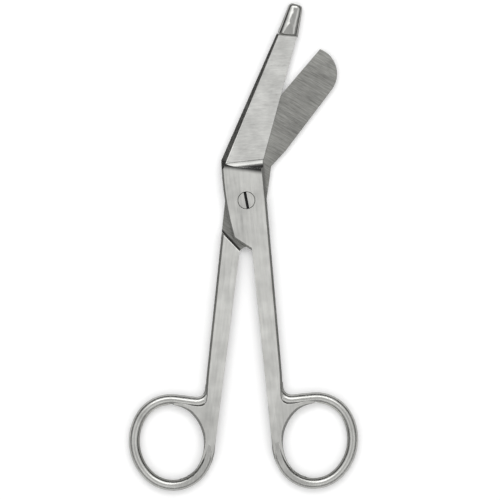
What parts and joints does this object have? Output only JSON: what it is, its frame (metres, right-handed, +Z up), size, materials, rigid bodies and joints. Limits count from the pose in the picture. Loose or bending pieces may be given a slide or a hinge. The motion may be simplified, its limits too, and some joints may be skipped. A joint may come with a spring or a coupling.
{
  "type": "bandage scissors",
  "caption": "Angled steel bandage scissors lying half open, with a blunt-ended probe blade, a broad rounded blade, a slotted pivot screw and oval finger rings, for cutting off dressings.",
  "frame": {"origin": "on the pivot axis, on the plane the scissors lie on", "axes": "+Z up out of the face with the screw head, +Y from the pivot towards the blade tips, +X to the right when seen from above"},
  "size_m": [0.0847, 0.1801, 0.0042],
  "materials": {
    "probe_half": "satin ground stainless steel",
    "broad_half": "satin ground stainless steel",
    "pivot_screw": "satin stainless steel"
  },
  "bodies": {
    "rear": {"broad_half": "broad_half", "pivot_screw": "pivot_screw"},
    "front": {"probe_half": "probe_half"}
  },
  "joints": [
    {"name": "blade_pivot", "type": "hinge", "parent": "rear", "child": "front", "pos_m": [0, 0, 0], "axis": [0, 0, 1], "range_deg": [-13, 80]}
  ]
}
